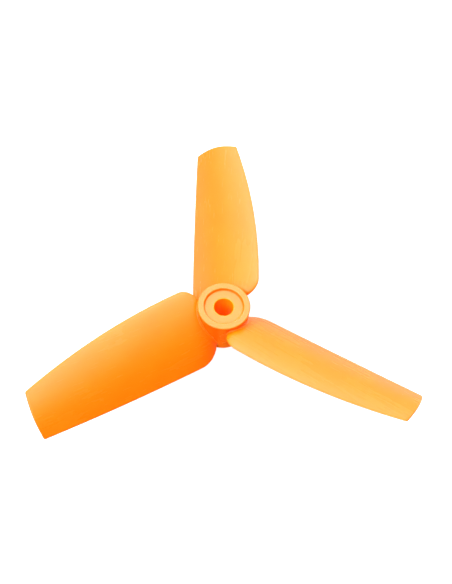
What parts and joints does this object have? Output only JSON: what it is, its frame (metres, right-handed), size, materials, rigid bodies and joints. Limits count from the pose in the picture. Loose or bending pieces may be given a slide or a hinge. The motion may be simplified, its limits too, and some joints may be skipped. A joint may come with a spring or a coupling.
{
  "type": "propeller",
  "caption": "Broad, square-tipped quadcopter propeller with a tall round hub, a shallow nut recess, a through bore and a loose centring ring in its foot.",
  "frame": {"origin": "the centre of mass, on the spin axis, 7.15 mm above the hub's flat foot", "axes": "+Z along the spin axis, towards the side the thrust acts on and the nut goes; +Y along the first blade, blade_1"},
  "size_m": [0.1025, 0.0943, 0.0123],
  "materials": {
    "orange_plastic": "satin moulded polycarbonate blend, bright orange and slightly translucent",
    "ring_plastic": "natural white nylon, matte"
  },
  "bodies": {
    "shaft_ring": {"shaft_ring": "ring_plastic"},
    "propeller": {"hub": "orange_plastic", "blade_1": "orange_plastic", "blade_2": "orange_plastic", "blade_3": "orange_plastic"}
  },
  "joints": [
    {"name": "propeller_spin", "type": "hinge", "parent": "shaft_ring", "child": "propeller", "pos_m": [0, 0, 0], "axis": [0, 0, 1], "continuous": true}
  ]
}
